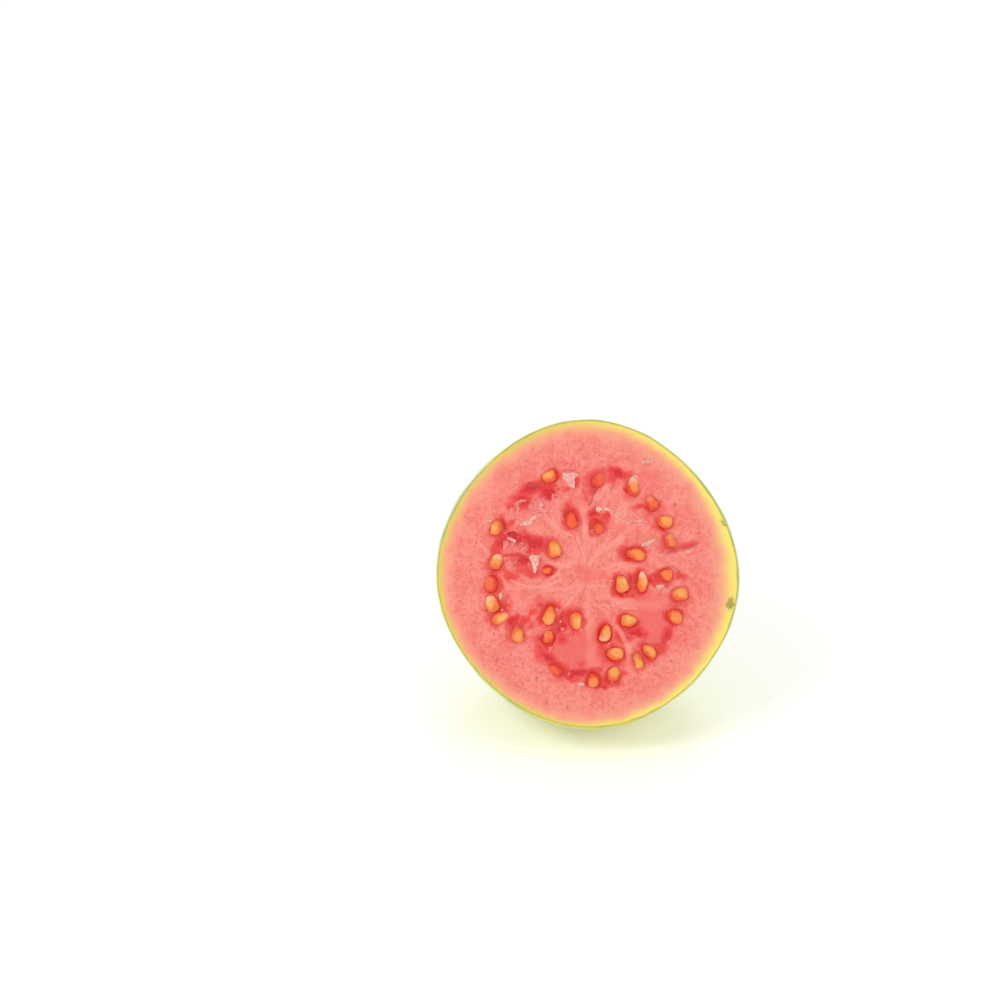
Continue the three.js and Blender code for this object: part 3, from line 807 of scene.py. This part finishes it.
class Finish:
    """A material in the making, with short ways to add nodes to it."""

    def __init__(self, name):
        self.material = bpy.data.materials.new(name)
        self.material.use_nodes = True
        self.nodes = self.material.node_tree.nodes
        self.links = self.material.node_tree.links
        self.shader = self.nodes["Principled BSDF"]
        place = self.nodes.new("ShaderNodeTexCoord").outputs["Object"]
        turn = (math.radians(90 - FACE_TILT), 0, 0)
        sized = {"Location": centre, "Rotation": turn, "Scale": (MM, MM, MM)}
        self.fruit = self.node("Mapping", {"Vector": place, **sized}, vector_type="TEXTURE").outputs[0]

    def node(self, kind, inputs, **settings):
        made = self.nodes.new("ShaderNode" + kind)
        for name, value in settings.items():
            setattr(made, name, value)
        for name, value in inputs.items():
            self.feed(made.inputs[name], value)
        return made

    def feed(self, socket, value):
        if isinstance(value, bpy.types.NodeSocket):
            self.links.new(value, socket)
        else:
            socket.default_value = value

    def set(self, **inputs):
        """Sets the shader's own sockets, with spaces for underscores."""
        for name, value in inputs.items():
            self.feed(self.shader.inputs[name.replace("_", " ")], value)

    def mark(self, name):
        return self.node("Attribute", {}, attribute_name=name).outputs["Fac"]

    def mix(self, share, under, over):
        mixed = self.node("Mix", {}, data_type="RGBA")
        for socket, value in ((0, share), (6, under), (7, over)):
            self.feed(mixed.inputs[socket], value)
        return mixed.outputs[2]

    def blend(self, share, under, over):
        """As mix, for single numbers."""
        mixed = self.node("Mix", {}, data_type="FLOAT")
        for socket, value in ((0, share), (2, under), (3, over)):
            self.feed(mixed.inputs[socket], value)
        return mixed.outputs[0]

    def sum(self, operation, first, second=0.0):
        return self.node("Math", {0: first, 1: second}, operation=operation).outputs[0]

    def add(self, first, second):
        return self.sum("ADD", first, second)

    def share(self, value, part):
        """A part of a value; the part may be another value."""
        return self.sum("MULTIPLY", value, part)

    def about_nil(self, value):
        """Noise moved so that it lies about 0."""
        return self.sum("SUBTRACT", value, 0.5)

    def ridge(self, value, at=0.5):
        """How far a value is from the given one."""
        return self.sum("ABSOLUTE", self.sum("SUBTRACT", value, at))

    def fade(self, value, low, high):
        """0 below low, 1 above high, and smooth between them; low may be the larger."""
        spread = {"Value": value, "From Min": low, "From Max": high}
        return self.node("MapRange", spread, interpolation_type="SMOOTHSTEP").outputs[0]

    def tint(self, under, over, value, low, high, most=None):
        """Lays a colour over another as a value goes from low to high, in full or up to a given share."""
        share = self.fade(value, low, high)
        if most is not None:
            share = self.share(share, most)
        return self.mix(share, under, over)

    def tints(self, colour, *layers):
        """Lays several tints over a colour, the first one lowest."""
        for layer in layers:
            colour = self.tint(colour, *layer)
        return colour

    def noise(self, size, detail=2.0, vector=None, roughness=0.5):
        """Noise from about 0.25 to 0.75 with features of the given size in millimetres."""
        inputs = {"Vector": vector or self.fruit, "Scale": 1 / size, "Detail": detail}
        return self.node("TexNoise", {**inputs, "Roughness": roughness}).outputs["Fac"]

    def specks(self, size):
        """Distance to the nearest of many points, in units of their spacing, and a random number each."""
        cells = self.node("TexVoronoi", {"Vector": self.fruit, "Scale": 1 / size})
        split = self.node("SeparateColor", {"Color": cells.outputs["Color"]})
        return cells.outputs["Distance"], split.outputs[0]

    def bump(self, height, distance, strength=1.0, normal=None):
        inputs = {"Height": height, "Distance": distance * MM, "Strength": strength}
        if normal is not None:
            inputs["Normal"] = normal
        return self.node("Bump", inputs).outputs["Normal"]


print("a middle grey in linear values:", [round(c, 3) for c in screen(128, 128, 128)])

# %% [markdown]
# ## Flesh
# Guava flesh is coral pink, wet and slightly clear, so light enters it and comes out softened: the shader
# gets a little subsurface scattering under a wet coat. The firm outer flesh is full of stone cells, which
# show as fine grain with darker dots. Towards the core it turns to soft radial fibres. The last few
# millimetres pale to peach and yellow before the green skin. One recipe holds it all, in four layers,
# because the flesh is one thing that changes from place to place and has no seams to cut it at.

# %% Firm flesh and fibres
PINK = screen(243, 120, 111)
PALE_PINK = screen(248, 143, 129)
DUSKY_PINK = screen(222, 90, 86)
FIBRE_PINK = screen(251, 160, 143)
WARM_PINK = screen(232, 106, 92)
DOT_RED = screen(176, 62, 66)


def radial_streaks(finish):
    """Noise drawn out along lines from the middle of the cut, and the distance from it."""
    place = finish.node("SeparateXYZ", {"Vector": finish.fruit}).outputs
    flat = finish.node("CombineXYZ", {"X": place[0], "Y": place[1]}).outputs[0]
    distance = finish.node("VectorMath", {0: flat}, operation="LENGTH").outputs["Value"]
    bearing = finish.node("VectorMath", {0: flat}, operation="NORMALIZE").outputs["Vector"]
    spread = finish.node("VectorMath", {0: bearing, "Scale": 7.0}, operation="SCALE").outputs["Vector"]
    split = finish.node("SeparateXYZ", {"Vector": spread}).outputs
    drawn = finish.share(distance, 0.16)
    vector = finish.node("CombineXYZ", {"X": split[0], "Y": split[1], "Z": drawn}).outputs[0]
    return finish.noise(1.0, 3.0, vector), distance


# Specks: spacing in millimetres, two pairs for how they fade from their middles and how few are kept,
# strength, colour, and whether the core has them too
SPECKS = (
    (1.25, (0.3, 0.12), (0.45, 0.55), 0.55, DUSKY_PINK, False),
    (1.7, (0.3, 0.1), (0.5, 0.4), 0.55, FIBRE_PINK, True),
    (3.1, (0.13, 0.06), (0.62, 0.66), 0.5, DOT_RED, False),
)


def firm_flesh(finish, grain, streaks, distance):
    """Pink with cloudy patches, stone cells and, near the core, pale fibres."""
    outer = finish.fade(distance, 20, 27)
    inner = finish.fade(distance, 27, 22)
    blotch = finish.noise(1.5, 3.0, roughness=0.6)
    colour = finish.tints(
        PINK,
        (PALE_PINK, finish.noise(6.0, 2.0), 0.35, 0.65),
        (WARM_PINK, blotch, 0.48, 0.36, 0.5),
        (FIBRE_PINK, blotch, 0.52, 0.66, 0.4),
        (FIBRE_PINK, grain, 0.52, 0.68, 0.6),
        (DUSKY_PINK, grain, 0.48, 0.34, 0.6),
    )
    for spacing, middle_fade, kept, strength, speck_colour, in_core in SPECKS:
        near, pick = finish.specks(spacing)
        speck = finish.share(finish.fade(near, *middle_fade), finish.fade(pick, *kept))
        if not in_core:
            speck = finish.share(speck, outer)
        colour = finish.mix(finish.share(speck, strength), colour, speck_colour)
    colour = finish.mix(finish.share(inner, 0.3), colour, WARM_PINK)
    pale = finish.share(finish.fade(streaks, 0.52, 0.66), finish.share(inner, 0.6))
    colour = finish.mix(pale, colour, FIBRE_PINK)
    torn = finish.ridge(finish.noise(2.6, 3.0, roughness=0.65))
    web = finish.share(finish.fade(torn, 0.035, 0.005), finish.share(inner, 0.6))
    colour = finish.mix(web, colour, FIBRE_PINK)
    return finish.mix(finish.share(finish.mark("dot"), 0.75), colour, DOT_RED)


print("deepest of the firm pinks:", [round(c, 3) for c in DUSKY_PINK])

# %% Wet pulp round the seeds
CHAMBER_CORAL = screen(238, 98, 92)
PULP_CORAL = screen(236, 76, 70)
PULP_RED = screen(216, 28, 34)
POCKET_RED = screen(226, 40, 26)
# Dark red-brown for the painted shade along the pockets' edges
POCKET_EDGE_SHADE = screen(168, 44, 34)
# Pale pink for the crests of the froth's folds: partly its whitish bubbles, partly a painted highlight
FROTH_BUBBLE_AND_HIGHLIGHT_PINK = screen(253, 178, 166)
FROTH_CORAL = screen(240, 124, 116)


def pulp(finish, colour, grain, folds):
    """Coral chambers, red gel in their corners, the pockets round the seeds with painted shade along
    their edges, and pale froth whose crests are partly a painted highlight.
    """
    rough = finish.share(finish.about_nil(grain), 0.6)
    cloud = finish.share(finish.about_nil(finish.noise(2.6, 2.0)), 1.3)
    chamber = finish.add(finish.mark("chamber"), finish.add(rough, cloud))
    gel = finish.add(finish.mark("pulp"), rough)
    reach = finish.add(finish.mark("pocket"), rough)
    halo = finish.mark("halo")
    # Painted shade: a thin broken dark line along each pocket's edge
    lip = finish.share(finish.fade(finish.ridge(reach, 1.4), 0.2, 0.02), finish.share(halo, 0.5))
    colour = finish.tints(
        colour,
        (CHAMBER_CORAL, chamber, 0.2, 0.9, 0.8),
        (PULP_CORAL, gel, 0.06, 0.42),
        (PULP_RED, gel, 0.38, 0.9, 0.95),
        (PULP_CORAL, reach, 2.0, 1.3, halo),
        (POCKET_RED, reach, 1.5, 1.05, halo),
        (POCKET_EDGE_SHADE, finish.noise(2.4), 0.5, 0.62, lip),
    )
    froth = finish.fade(finish.add(finish.mark("froth"), cloud), 0.2, 1.0)
    colour = finish.mix(finish.share(froth, 0.4), colour, FROTH_CORAL)
    # The froth's pale crests: partly its whitish bubbles, partly a painted highlight
    return finish.tint(colour, FROTH_BUBBLE_AND_HIGHLIGHT_PINK, folds, 0.045, 0.01, finish.share(froth, 0.8))


print("deep pulp red in linear values:", [round(c, 3) for c in PULP_RED])

# %% Fibres and cracks
CRACK_RED = screen(206, 54, 58)


def strokes(finish, colour):
    """Pale fibres and dark cracks."""
    colour = finish.mix(finish.mark("fibre"), colour, FIBRE_PINK)
    return finish.mix(finish.share(finish.mark("crack"), 0.8), colour, CRACK_RED)


print("crack red in linear values:", [round(c, 3) for c in CRACK_RED])

# %% Rind under the skin
RIND_PEACH = screen(248, 166, 134)
RIND_GOLD = screen(226, 204, 100)
RIND_YELLOW = screen(248, 230, 116)
RIND_OLIVE = screen(168, 166, 66)
BRUISE_OLIVE = screen(156, 142, 60)


def rind(finish, colour, grain):
    """Peach, then yellow, then an olive line at the skin, all with uneven widths, and bruises."""
    depth = finish.mark("rind")
    width = finish.mark("rind_width")
    wave = finish.share(finish.about_nil(finish.noise(3.5, 3.0)), 3.2)
    uneven = finish.add(wave, finish.about_nil(grain))
    past = finish.sum("SUBTRACT", finish.add(depth, finish.share(uneven, 1.4)), width)
    across = finish.node("SeparateXYZ", {"Vector": finish.fruit}).outputs[0]
    yellow = finish.tint(RIND_GOLD, RIND_YELLOW, across, -20, 25)
    share = finish.sum("DIVIDE", finish.add(depth, finish.share(uneven, 0.6)), width)
    line = finish.add(depth, finish.share(wave, 0.2))
    bruise = finish.add(finish.mark("bruise"), finish.share(finish.about_nil(grain), 1.2))
    return finish.tints(
        colour,
        (RIND_PEACH, depth, 11, 3, finish.share(width, 0.09)),
        (RIND_PEACH, past, 2.6, -0.6, 0.95),
        (yellow, share, 1.15, 0.15),
        (RIND_OLIVE, line, 0.55, 0.05, 0.8),
        (BRUISE_OLIVE, bruise, 0.15, 0.85, 0.8),
    )


print("the rind's yellow is", min(RIND_WIDTHS), "to", max(RIND_WIDTHS), "mm wide")

# %% Flesh material
def flesh_material():
    finish = Finish("flesh")
    grain = finish.noise(0.7, 3.0, roughness=0.65)
    streaks, distance = radial_streaks(finish)
    folds = finish.ridge(finish.noise(1.5, 0.5))
    colour = firm_flesh(finish, grain, streaks, distance)
    colour = pulp(finish, colour, grain, folds)
    colour = strokes(finish, colour)
    colour = rind(finish, colour, grain)
    fine = finish.add(finish.share(grain, 0.6), finish.share(streaks, 0.4))
    normal = finish.bump(fine, 0.22, 0.6)
    froth = finish.share(finish.mark("froth"), 0.35)
    normal = finish.bump(finish.fade(folds, 0.08, 0.0), 0.3, froth, normal)
    wet = finish.fade(finish.mark("pulp"), 0.1, 0.6)
    finish.set(Base_Color=colour, Roughness=finish.blend(wet, 0.4, 0.18), Normal=normal)
    finish.set(Subsurface_Weight=0.35, Subsurface_Radius=(1.0, 0.3, 0.2), Subsurface_Scale=1.6 * MM)
    finish.set(Coat_Weight=0.25, Coat_Roughness=0.12, Coat_IOR=1.34)
    print("nodes in the flesh:", len(finish.nodes))
    return finish.material


# %% Scrap material
# The scraps' pale pinks are partly their own and partly a painted highlight, for the glints of the wet
# cut
SCRAP_PINK_AND_HIGHLIGHT = screen(242, 158, 148)
SCRAP_PALE_AND_HIGHLIGHT = screen(252, 198, 178)


def scrap_and_highlight_material():
    finish = Finish("scrap")
    cloud = finish.noise(0.9, 3.0)
    colour = finish.tint(SCRAP_PINK_AND_HIGHLIGHT, SCRAP_PALE_AND_HIGHLIGHT, cloud, 0.4, 0.62)
    normal = finish.bump(cloud, 0.25, 0.6)
    finish.set(Base_Color=colour, Roughness=0.3, Normal=normal)
    finish.set(Subsurface_Weight=0.4, Subsurface_Radius=(1.0, 0.4, 0.3), Subsurface_Scale=0.8 * MM)
    finish.set(Coat_Weight=0.4, Coat_Roughness=0.1, Coat_IOR=1.34)
    return finish.material


scraps.data.materials.append(scrap_and_highlight_material())
print("scrap finish made")

# %% [markdown]
# ## Skin
# The skin is a thin waxy rind, yellow-green with darker green patches and small brown scars. It is so
# glossy that it mirrors the windows of a room. Broad noise sets the ripening patches, finer noise mottles
# them, and a few scattered cells become scars, which also roughen the gloss.

# %% Skin material
SKIN_YELLOW = screen(210, 208, 66)
SKIN_GREEN = screen(166, 184, 58)
SKIN_DARK = screen(104, 126, 36)
SCAR_BROWN = screen(92, 70, 30)


def skin_material():
    finish = Finish("skin")
    ripe = finish.noise(26.0, 2.0)
    mottle = finish.noise(5.0, 4.0, roughness=0.65)
    pores = finish.noise(0.5, 2.0)
    colour = finish.tints(
        SKIN_YELLOW,
        (SKIN_GREEN, ripe, 0.4, 0.62),
        (SKIN_DARK, mottle, 0.48, 0.72, 0.45),
        (SKIN_YELLOW, mottle, 0.46, 0.3, 0.5),
    )
    near, pick = finish.specks(5.0)
    ragged = finish.add(near, finish.share(finish.about_nil(pores), 0.3))
    scars = finish.share(finish.fade(ragged, 0.12, 0.06), finish.fade(pick, 0.7, 0.75))
    colour = finish.mix(scars, colour, SCAR_BROWN)
    place = finish.node("SeparateXYZ", {"Vector": finish.fruit}).outputs
    colour = finish.tint(colour, SKIN_DARK, place[2], -40, -44.5, 0.6)
    normal = finish.bump(finish.noise(7.0, 3.0), 0.9, 0.7)
    normal = finish.bump(pores, 0.05, 0.4, normal)
    finish.set(Base_Color=colour, Roughness=finish.blend(scars, 0.3, 0.7), Normal=normal)
    finish.set(Subsurface_Weight=0.1, Subsurface_Radius=(0.6, 0.6, 0.2), Subsurface_Scale=1.5 * MM)
    finish.set(Coat_Weight=0.28, Coat_Roughness=0.06, Coat_IOR=1.35, Specular_IOR_Level=0.25)
    return finish.material


body.data.materials.append(flesh_material())
body.data.materials.append(skin_material())
print("finishes on the body:", [slot.name for slot in body.data.materials])

# %% [markdown]
# ## Seed finish
# The seeds are pale yellow where they stand clear, and orange to red where wet pulp lies over them. Their
# flanks are always redder than their tops, because the pulp clings there, and the clearest ones show an
# olive line where the two halves of the shell meet. Some carry a painted highlight, a pale pink patch on
# one end.

# %% Seed material
SEED_CREAM = screen(250, 194, 118)
SEED_AMBER = screen(250, 154, 82)
SEED_RED = screen(242, 98, 60)
SEED_FLANK = screen(238, 122, 62)
SEED_FLANK_RED = screen(226, 68, 42)
SEED_OLIVE = screen(196, 146, 58)
# A painted highlight: the pale pink patch on one end of some seeds
SEED_HIGHLIGHT = screen(252, 196, 168)


def seed_material():
    finish = Finish("seed")
    warm, core, pale, across, draw = (finish.mark(name) for name in SEED_MARKS)
    grain = finish.about_nil(finish.noise(1.1, 2.0))
    middle = finish.add(core, finish.share(grain, 0.9))
    body = finish.tint(SEED_AMBER, SEED_RED, warm, 0.4, 0.95)
    flank = finish.tint(SEED_FLANK, SEED_FLANK_RED, warm, 0.1, 0.6)
    colour = finish.tint(flank, body, middle, -0.05, 0.5)
    clear = finish.share(finish.fade(warm, 0.55, 0.0), finish.fade(middle, 0.3, 0.85))
    colour = finish.mix(clear, colour, SEED_CREAM)
    off_line = finish.sum("ABSOLUTE", finish.add(across, finish.share(grain, 0.8)))
    line = finish.share(finish.fade(off_line, 0.4, 0.0), 0.8)
    line = finish.share(line, finish.share(finish.fade(middle, 0.45, 0.7), clear))
    colour = finish.tint(colour, SEED_OLIVE, draw, 0.1, 0.5, line)
    # A painted highlight: a pale pink patch on one end of some seeds
    colour = finish.mix(pale, colour, SEED_HIGHLIGHT)
    normal = finish.bump(grain, 0.15, 0.4)
    finish.set(Base_Color=colour, Roughness=0.45, Normal=normal)
    finish.set(Subsurface_Weight=0.6, Subsurface_Radius=(1.0, 0.6, 0.25), Subsurface_Scale=1.2 * MM)
    finish.set(Coat_Weight=0.1, Coat_Roughness=0.25, Coat_IOR=1.34, Specular_IOR_Level=0.3)
    return finish.material


seeds.data.materials.append(seed_material())
print("seed finish made")

# %% [markdown]
# ## Calyx
# At the blossom end the flower left its dry calyx: a small woody dish with five curled sepals on its lip
# and the stubs of stamens inside. The dish is a profile spun round its axis. Each sepal is a flat grid
# that is drawn to a point, cupped, curled outwards and given a thickness, because a leaf drawn as a flat
# sheet shows its edge as a real dry leaf does.

# %% Shape the calyx
CALYX = {"radius": 3.4, "height": 2.0, "wall": 1.1, "sink": 1.0, "dish": 0.9}
SEPAL = {"count": 5, "length": 4.8, "width": 3.6, "thickness": 0.45, "rise": 0.8, "flare": 48}
BLADE = {"cup": 2.6, "crumple": 0.3, "rib": 0.35, "rib_width": 0.08, "torn": 0.5, "foot": 0.5}
STAMENS = {"count": 36, "length": 1.5, "width": 0.24, "buried": 0.2, "lean": 30, "spread": 1.7}
# The turn in radians from one stub to the next, which spreads them like the seeds of a sunflower
STAMEN_TURN = 2.4
DISH_STEPS = 60
WOODY = 0.22

end_point = Vector((END_DRIFT[0], END_DRIFT[1], END_HOLLOW["depth"] - DOME_DEPTH))
calyx_draw = np.random.default_rng(5)


def dish_profile():
    """Distance from the axis and height of the dish's outline, from its buried middle to its floor."""
    radius, lip, wall = CALYX["radius"], -CALYX["height"], CALYX["wall"]
    corners = [
        (0, CALYX["sink"]),
        (0.75 * radius, CALYX["sink"]),
        (radius, 0),
        (radius - 0.1, 0.6 * lip),
        (radius - 0.25, lip),
        (radius - 0.8 * wall, lip),
        (radius - 1.6 * wall, lip + CALYX["dish"]),
        (0, lip + 1.3 * CALYX["dish"]),
    ]
    return [Vector((out, 0, height)) for out, height in corners]


def add_dish(bm):
    """A woody dish with a ragged lip, spun from its profile."""
    made = [bm.verts.new(corner) for corner in dish_profile()]
    edges = [bm.edges.new(pair) for pair in zip(made, made[1:])]
    spun = {"cent": (0, 0, 0), "axis": (0, 0, 1), "angle": 2 * math.pi}
    bmesh.ops.spin(bm, geom=made + edges, steps=DISH_STEPS, use_merge=True, **spun)
    bmesh.ops.remove_doubles(bm, verts=bm.verts, dist=1e-4)
    bmesh.ops.subdivide_edges(bm, edges=bm.edges, cuts=1, use_grid_fill=True)
    for vert in bm.verts:
        grooves = noise.noise(Vector((2.2 * vert.co.x, 2.2 * vert.co.y, 0.7 * vert.co.z)))
        rim = 1 if vert.co.z < -0.6 * CALYX["height"] else 0
        vert.co.x *= 1 + WOODY * 0.3 * grooves
        vert.co.y *= 1 + WOODY * 0.3 * grooves
        vert.co.z += WOODY * rim * noise.noise(2 * vert.co + Vector((7, 0, 0)))


def add_sepal(bm, bearing, length, flare):
    """One dry blade that leaves the lip and curls outwards, with a midrib and a torn edge."""
    sepal = bmesh.new()
    bmesh.ops.create_grid(sepal, x_segments=8, y_segments=16, size=0.5)
    ragged = calyx_draw.uniform(0, 50)
    for vert in sepal.verts:
        side, along = vert.co.x, vert.co.y + 0.5
        torn = 1 + BLADE["torn"] * noise.noise(Vector((ragged, 5 * along, 9 * math.copysign(1, side))))
        across = side * SEPAL["width"] * (1 - along**1.7) * torn + BLADE["foot"] * side
        cup = BLADE["cup"] * side**2 * (1 - 0.6 * along)
        crumple = BLADE["crumple"] * noise.noise(Vector((2 * across, 1.6 * along * length, ragged)))
        bend = math.radians(flare) * along
        rib = BLADE["rib"] * math.exp(-((side / BLADE["rib_width"]) ** 2))
        out = length * along * math.sin(bend) - cup + crumple - rib
        away = length * along * math.cos(bend)
        vert.co = (CALYX["radius"] - 0.6 + out, across, -(CALYX["height"] - SEPAL["rise"]) - away)
    bmesh.ops.recalc_face_normals(sepal, faces=sepal.faces)
    bmesh.ops.solidify(sepal, geom=sepal.faces, thickness=SEPAL["thickness"])
    bmesh.ops.rotate(sepal, cent=(0, 0, 0), matrix=Matrix.Rotation(bearing, 3, "Z"), verts=sepal.verts)
    join(bm, sepal)


def add_stamen(bm, bearing, distance):
    """One dried stub on the floor of the dish, leaning at random."""
    stamen = bmesh.new()
    length = STAMENS["length"] * calyx_draw.uniform(0.5, 1.2)
    wide = STAMENS["width"] / 2
    ends = {"radius1": wide, "radius2": 1.3 * wide, "depth": length}
    bmesh.ops.create_cone(stamen, cap_ends=True, segments=6, **ends)
    bmesh.ops.translate(stamen, vec=(0, 0, length / 2 - STAMENS["buried"]), verts=stamen.verts)
    tip_over = 180 + calyx_draw.uniform(-STAMENS["lean"], STAMENS["lean"])
    lean = Matrix.Rotation(math.radians(tip_over), 3, "X")
    lean = Matrix.Rotation(calyx_draw.uniform(0, 2 * math.pi), 3, "Z") @ lean
    bmesh.ops.rotate(stamen, cent=(0, 0, 0), matrix=lean, verts=stamen.verts)
    place = (distance * math.cos(bearing), distance * math.sin(bearing), -CALYX["height"] + CALYX["dish"])
    bmesh.ops.translate(stamen, vec=place, verts=stamen.verts)
    join(bm, stamen)


def calyx_mesh():
    bm = bmesh.new()
    add_dish(bm)
    for number in range(SEPAL["count"]):
        bearing = 2 * math.pi / SEPAL["count"] * (number + calyx_draw.uniform(0, 0.25))
        length = SEPAL["length"] * calyx_draw.uniform(0.8, 1.05)
        add_sepal(bm, bearing, length, SEPAL["flare"] * calyx_draw.uniform(0.8, 1.25))
    for number in range(STAMENS["count"]):
        distance = STAMENS["spread"] * math.sqrt((number + 0.5) / STAMENS["count"])
        add_stamen(bm, STAMEN_TURN * number, distance)
    bmesh.ops.translate(bm, vec=end_point, verts=bm.verts)
    return to_mesh(bm, "dry_calyx")


calyx = show("dry_calyx", calyx_mesh())
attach(calyx, "root")
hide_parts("calyx")

# %% [markdown]
# ## Calyx finish
# Dry sepal is papery and dull: tan and dark brown in patches, and nearly black towards the tips. Fine
# noise gives the fibre of the dead tissue.

# %% Calyx material
CALYX_BROWN = screen(92, 62, 30)
CALYX_TAN = screen(146, 108, 52)
CALYX_DARK = screen(48, 32, 18)
CALYX_BLACK = screen(30, 22, 14)


def calyx_material():
    finish = Finish("calyx")
    place = finish.node("SeparateXYZ", {"Vector": finish.fruit}).outputs
    patches = finish.noise(1.6, 3.0)
    fibre = finish.noise(0.45, 4.0, roughness=0.7)
    outward = finish.add(place[2], finish.share(patches, 2.0))
    colour = finish.tints(
        CALYX_BROWN,
        (CALYX_TAN, patches, 0.4, 0.62),
        (CALYX_DARK, fibre, 0.52, 0.36, 0.7),
        (CALYX_BLACK, outward, -46.2, -48.6, 0.85),
    )
    normal = finish.bump(fibre, 0.2, 0.7)
    finish.set(Base_Color=colour, Roughness=0.82, Normal=normal)
    return finish.material


calyx.data.materials.append(calyx_material())
print("calyx finish made")

# %% [markdown]
# ## Floor and light
# The fruit lies on a plain white table in a bright room. A large sheet catches its soft shadow. The
# white world and a faint glow of the sheet, as of a light table, fill the shadow in, so it stays faint.

# %% Lay the floor
FLOOR_SIZE = 4.0
FLOOR_WHITE = 0.92
FLOOR_GLOW = 0.24


def make_floor():
    bm = bmesh.new()
    bmesh.ops.create_grid(bm, x_segments=1, y_segments=1, size=FLOOR_SIZE / 2)
    mesh = bpy.data.meshes.new("floor")
    bm.to_mesh(mesh)
    bm.free()
    floor = show("floor", mesh)
    white = bpy.data.materials.new("floor_white")
    white.use_nodes = True
    shader = white.node_tree.nodes["Principled BSDF"]
    shader.inputs["Base Color"].default_value = (FLOOR_WHITE, FLOOR_WHITE, FLOOR_WHITE, 1)
    shader.inputs["Emission Color"].default_value = (1, 1, 1, 1)
    shader.inputs["Emission Strength"].default_value = FLOOR_GLOW
    shader.inputs["Roughness"].default_value = 0.9
    mesh.materials.append(white)


make_floor()

# %% Light the room
LAMPS = (
    ("window", (-0.55, -0.5, 0.75), 0.4, 3.2),
    ("fill", (0.7, -0.5, 0.6), 0.8, 1.8),
    ("back", (0.1, 0.8, 0.7), 0.5, 2.4),
)
WORLD_STRENGTH = 0.6


def light_room():
    world = bpy.data.worlds.new("room")
    bpy.context.scene.world = world
    world.use_nodes = True
    sky = world.node_tree.nodes["Background"]
    sky.inputs["Color"].default_value = (1, 1, 1, 1)
    sky.inputs["Strength"].default_value = WORLD_STRENGTH
    for name, place, size, power in LAMPS:
        data = bpy.data.lights.new(name, "AREA")
        data.size = size
        data.energy = power
        lamp = bpy.data.objects.new(name, data)
        lamp.location = place
        lamp.rotation_euler = (centre - Vector(place)).to_track_quat("-Z", "Y").to_euler()
        bpy.context.scene.collection.objects.link(lamp)
    bpy.context.scene.view_settings.view_transform = "Standard"
    print("lamps:", len(LAMPS))


light_room()
